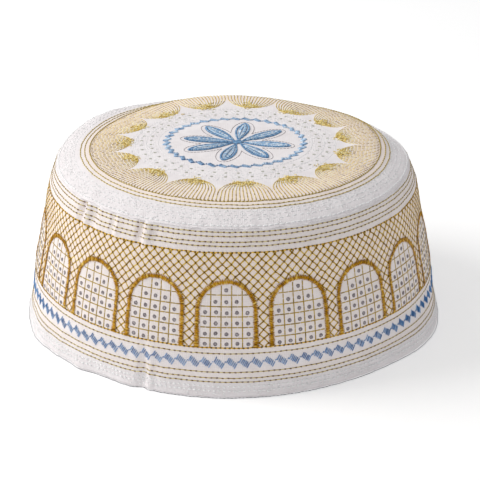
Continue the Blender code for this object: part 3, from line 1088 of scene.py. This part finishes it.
# Hem edge: the fold is overcast along its lower edge; its thread is drawn grey, painted shadow
# that stands for the thin dark line under the hem, seen as a thin dotted line.
hem_shadow_cotton = embroidery_thread(
    "cotton_thread_grey_painted_shadow", "#77777b", "#a0a0a4", "#c4c4c8", "#8a8a8e", roughness=0.7, shimmer=0.0
)
hem_shadow_sewn = running_row(height=0.3, stitch=1.6, strand=0.26, shade=0.4, spread=0.2)
thread_piece("hem_edge_painted_shadow", hem_shadow_sewn, hem_shadow_cotton)


# Crown rings and petals: two dashed rings in pale gold frame the pattern, and inside them stand
# fifteen shell petals. A petal's strands rise side by side from the inner ring, round over at its
# shoulders and meet in a small scribble of brighter gold at its tip.
PETALS = 15
FIRST_PETAL = 274.0
PETAL_LINES = 16
PETAL_TIP = 46.8
PETAL_SHOULDER = 57.0
PETAL_STITCH = 1.7
PETAL_STRAND = 0.46
PETAL_FOOT = PETAL_RING - 0.4
PATH_STEPS = 60
TIP_SHARE = 0.12
TIP_MIDDLE = PETAL_TIP + 1.9
TIP_STRANDS = 56
TIP_SIZE = (2.0, 1.6)  # spread of the scribble, aside and out
TIP_REACH = (0.5, 0.95)


def petal_turn(number):
    """The azimuth, in radians, of a petal's middle, or between two for a part of a number."""
    return np.radians(FIRST_PETAL + 360.0 / PETALS * number)


def petal_place(number, aside, radius):
    """Places in a petal: aside from -1 to 1 across it, radius from the pattern's middle."""
    closing = np.clip((PETAL_SHOULDER - radius) / (PETAL_SHOULDER - PETAL_TIP), 0.0, 1.0)
    share = TIP_SHARE + (1 - TIP_SHARE) * np.sqrt(1 - closing**2)
    return polar(radius, petal_turn(number + aside * share / 2), CROWN_MIDDLE)


def path_length(path):
    """How far along a path each of its points lies."""
    return np.append(0.0, np.cumsum(np.linalg.norm(np.diff(path, axis=0), axis=1)))


def walk(path, length, ticks):
    """Points of the path at each tick of its length."""
    return np.stack([np.interp(ticks, length, path[:, axis]) for axis in (0, 1)], axis=1)


def petal_line(number, aside):
    """One strand line from the inner ring to the tip, whose first stitch is dark."""
    inward = np.sin(np.linspace(0.0, math.pi / 2, PATH_STEPS))
    path = petal_place(number, aside, PETAL_FOOT - (PETAL_FOOT - PETAL_TIP) * inward)
    length = path_length(path)
    first = dice.uniform(0.3, 1.0) * PETAL_STITCH
    ticks = np.concatenate([[0.0], np.arange(first, length[-1], PETAL_STITCH), length[-1:]])
    spots = walk(path, length, ticks)
    shade = np.full(len(ticks) - 1, 0.55)
    shade[0] = 0.05
    return sew(on_crown, spots[:-1], spots[1:], PETAL_STRAND, shade, spread=0.24, flat=0.7)


def petal_tip(number):
    """A scribble of strands that lie every way round the petal's tip."""
    outward = polar(1.0, petal_turn(number))
    sideways = outward[::-1] * (-1, 1)
    tip = petal_place(number, 0.0, TIP_MIDDLE)
    aside, out = (dice.normal(0.0, size, (TIP_STRANDS, 1)) for size in TIP_SIZE)
    spots = tip + aside * sideways + out * outward
    ray = polar(1.0, dice.uniform(0, math.tau, TIP_STRANDS))
    ray *= dice.uniform(*TIP_REACH, (TIP_STRANDS, 1))
    proud = dice.uniform(0.0, 0.3, TIP_STRANDS)
    return sew(on_crown, spots - ray, spots + ray, 0.42, shade=0.7, spread=0.3, proud=proud)


def make_petals():
    lines, tips = [], []
    asides = (np.arange(PETAL_LINES) + 0.5) / PETAL_LINES * 2 - 1
    for number in range(PETALS):
        lines += [petal_line(number, aside) for aside in asides]
        tips.append(petal_tip(number))
    return lines, tips


petal_lines, petal_tips = make_petals()
gold_petal = embroidery_thread(
    "rayon_thread_petal_gold", "#a88830", "#e8c862", "#fff0a8", "#ac8e30"
)
gold_tip = embroidery_thread("rayon_thread_tip_gold", "#c8a644", "#f4da84", "#fff6c8", "#dcbc60")
thread_piece("crown_petals", petal_lines, gold_petal)
thread_piece("petal_tips", petal_tips, gold_tip)
gold_rim = embroidery_thread("rayon_thread_rim_gold", "#a08636", "#dcc470", "#f2e4a8", "#b8a04e")
rim_look = {"shade": 0.55, "middle": CROWN_MIDDLE, "fill": 1.0}
rim_sewn = sum((crown_ring(ring, 2.2, 0.42, **rim_look) for ring in RIM_RINGS), [])
rim_sewn += crown_ring(PETAL_RING, stitch=1.6, strand=0.5, **rim_look)
thread_piece("crown_rings", rim_sewn, gold_rim)


# Crown eyelets: two rings of fine grey-green knots between the petals and the blue ring.
def make_crown_eyelets():
    turn = math.tau * np.arange(EYELETS_ROUND) / EYELETS_ROUND
    centres = np.concatenate([polar(ring, turn, CROWN_MIDDLE) for ring in EYELET_RINGS])
    centres += dice.normal(0.0, EYELET_WANDER, centres.shape)
    return eyelets(on_crown, centres, CROWN_EYELET, 0.7, 0.4)


grey_green = embroidery_thread(
    "rayon_thread_grey_green", "#a2a394", "#bdbdae", "#dadace", "#b4b4a6"
)
thread_piece("crown_eyelets", make_crown_eyelets(), grey_green)


# Blue ring: 38 slanting blocks round the star, sewn like those of the chain on the band but in a
# lighter blue, and with thicker strands that leave no cloth between them.
RING_BLOCKS = 38
RING_FLATTENING = 0.75
RING_STRAND = 0.7
RING_FRAY = 0.06
FRONT_SHADE_BLOCKS = (236.0, 50.0)  # azimuth, half_width: blocks at the front left drawn darker, painted shade


def make_blue_ring():
    pitch = math.tau * BLUE_RING / RING_BLOCKS
    low, high = chain_block_strands()
    sewn = []
    for block in range(RING_BLOCKS):
        fray = dice.normal(0.0, RING_FRAY, (2, CHAIN_STRANDS + 1, 2))
        start = math.tau * block / RING_BLOCKS
        places = (
            polar(
                BLUE_RING - up * RING_FLATTENING,
                start + along * pitch / CHAIN_PITCH / BLUE_RING,
                CROWN_MIDDLE,
            )
            for along, up in ((low + fray[0]).T, (high + fray[1]).T)
        )
        # Painted shade: the blocks at the front left are drawn darker.
        shade = 0.5 - 0.45 * bump(360.0 / RING_BLOCKS * block, *FRONT_SHADE_BLOCKS)
        sewn.append(sew(on_crown, *places, RING_STRAND, shade, spread=0.2, proud=0.1))
    return sewn


blue_crown = embroidery_thread(
    "rayon_thread_light_blue", "#6488b2", "#b4d2ee", "#e2effa", "#94b6da"
)
thread_piece("crown_blue_ring", make_blue_ring(), blue_crown)


# Star: eight pointed leaves of satin stitch round a knot. A leaf has a darker edge of short
# strands, a hair of cloth showing inside it, and a padded filling of longer, lighter strands.
LEAF_AZIMUTHS = (35.0, 81.0, 126.0, 169.5, 206.0, 255.0, 303.0, 346.5)
STAR_MIDDLE = (2.0, -0.3)
LEAF_START = 2.2
LEAF_END = 24.2
LEAF_HALF_WIDTH = 3.2
LEAF_EDGE = 0.85
LEAF_GAP = 0.4
LEAF_PITCH = 0.32
LEAF_SLANT = 1.1
LEAF_RIB = 0.12
LEAF_FRAY = 0.08
LEAF_EDGE_SLANT = 0.3
KNOT_RADIUS = 1.9
KNOT_STRANDS = 40


def leaf_half(share):
    """Half of a leaf's width at that share of its length; it is widest beyond its middle."""
    return LEAF_HALF_WIDTH * np.sin(math.pi * np.clip(share, 0, 1) ** 1.35) ** 0.6


def leaf_place(azimuth, along, aside):
    """Places on the crown from a leaf's own: along its rib from the star's middle, and aside."""
    turn = math.radians(azimuth)
    x = STAR_MIDDLE[0] + along * math.cos(turn) - aside * math.sin(turn)
    y = STAR_MIDDLE[1] + along * math.sin(turn) + aside * math.cos(turn)
    return np.stack([x, y], axis=1)


def make_star():
    edges, fills = [], []
    length = LEAF_END - LEAF_START
    count = int(length / LEAF_PITCH)
    share = (np.arange(count) + 0.5) / count
    along = LEAF_START + share * length
    half = leaf_half(share)
    inside = half - LEAF_EDGE - LEAF_GAP
    keep = inside > 0.2
    for azimuth in LEAF_AZIMUTHS:
        for side in (-1, 1):
            fray = dice.normal(0.0, LEAF_FRAY, (2, count))
            edge = np.maximum(half - LEAF_EDGE + fray[1], 0.0)
            outer = leaf_place(azimuth, along + LEAF_EDGE_SLANT, side * (half + fray[0]))
            inner = leaf_place(azimuth, along - LEAF_EDGE_SLANT, side * edge)
            edges.append(sew(on_crown, inner, outer, width=0.48, shade=0.4, spread=0.3, proud=0.2))
            rib = leaf_place(azimuth, along[keep] - LEAF_SLANT, side * LEAF_RIB)
            rim = leaf_place(azimuth, along[keep] + 0.2, side * (inside + fray[1])[keep])
            fills.append(sew(on_crown, rib, rim, width=0.5, spread=0.4, proud=0.22))
    turn = dice.uniform(0, math.tau, KNOT_STRANDS)
    reach = KNOT_RADIUS * np.sqrt(dice.uniform(0, 1, KNOT_STRANDS))
    spots, ray = polar(reach, turn, STAR_MIDDLE), polar(0.9, turn * 3)
    look = {"width": 0.5, "shade": 0.4, "spread": 0.2, "proud": 0.35}
    edges.append(sew(on_crown, spots - ray, spots + ray, **look))
    return edges, fills


star_edges, star_fills = make_star()
blue_edge = embroidery_thread(
    "rayon_satin_deep_blue", "#5380ae", "#84b0d8", "#c4e0f4", "#78a2cc", twist=2.0
)
blue_fill = embroidery_thread(
    "rayon_satin_sky_blue", "#7ea8d2", "#b8daf4", "#ffffff", "#7caad6", twist=2.0
)
star_names = [f"star_leaf_{leaf}" for leaf in range(1, len(LEAF_AZIMUTHS) + 1)] + ["star_knot"]
thread_piece("star_edges", star_edges, blue_edge, star_names)
thread_piece("star_fillings", star_fills, blue_fill)


# Star outline: a thin running stitch in grey-violet that follows each leaf a little way off and
# dips in between the leaves. Every path is walked as the leaf's edge, moved outward.
OUTLINE_AWAY = 1.9
OUTLINE_STITCH = 1.5
OUTLINE_FROM = 0.15  # share of a leaf's length where its outline begins
OUTLINE_STEPS = 500


def make_star_outline():
    sewn = []
    share = 1 - np.linspace(1.0, 0.0, OUTLINE_STEPS) ** 2 * (1 - OUTLINE_FROM)
    along = LEAF_START + share * (LEAF_END - LEAF_START)
    half = leaf_half(share)
    slope = np.gradient(half, along)
    steep = np.hypot(1.0, slope)
    along, aside = along - slope / steep * OUTLINE_AWAY, half + OUTLINE_AWAY / steep
    for leaf, azimuth in enumerate(LEAF_AZIMUTHS):
        for side, other in ((-1, leaf - 1), (1, (leaf + 1) % len(LEAF_AZIMUTHS))):
            between = abs((LEAF_AZIMUTHS[other] - azimuth + 180.0) % 360.0 - 180.0) / 2
            kept = aside < along * math.tan(math.radians(between))
            path = leaf_place(azimuth, along[kept], side * aside[kept])
            length = path_length(path)
            ticks = np.linspace(0.0, length[-1], int(length[-1] / OUTLINE_STITCH) + 1)
            spots = walk(path, length, ticks)
            sewn.append(sew(on_crown, spots[:-1], spots[1:], width=0.3, shade=0.6, spread=0.1))
    return sewn


thread_piece("star_outline", make_star_outline(), grey_violet)
